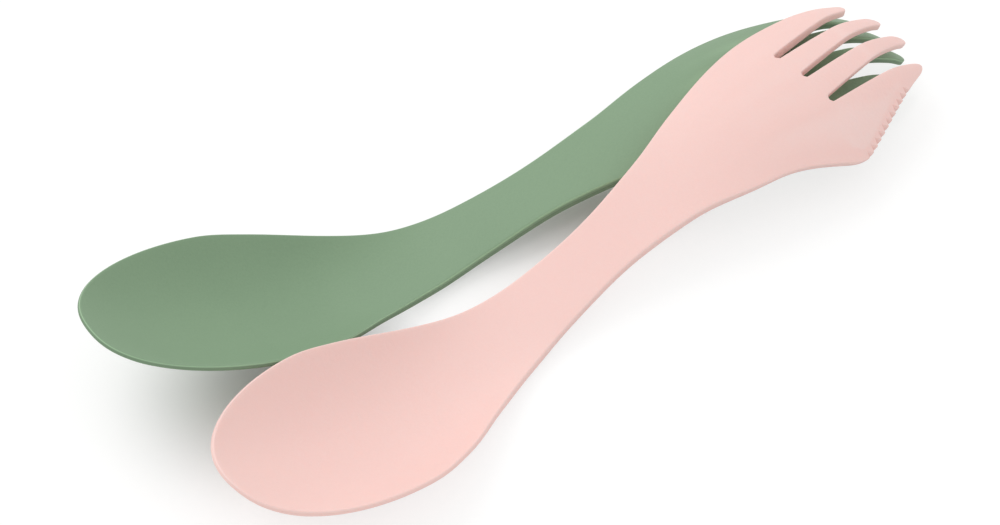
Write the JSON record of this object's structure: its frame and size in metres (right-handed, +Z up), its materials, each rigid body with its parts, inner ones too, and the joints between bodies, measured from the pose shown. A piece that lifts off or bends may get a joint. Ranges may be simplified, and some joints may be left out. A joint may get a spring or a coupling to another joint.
{
  "type": "plastic cutlery pack",
  "caption": "Moulded plastic sporks lying crossed, each a spoon, a fork and a serrated knife in one piece.",
  "frame": {"origin": "centre of the bounding box at the table, which the bowls rest on", "axes": "+Z up; the handles run from the bowls at -X -Y to the forks at +X +Y"},
  "size_m": [0.1502, 0.1374, 0.0203],
  "materials": {
    "green_plastic": "fine matte moulded texture",
    "pink_plastic": "fine matte moulded texture"
  },
  "bodies": {
    "root": {"green_spork": "green_plastic", "pink_spork": "pink_plastic"}
  },
  "joints": []
}
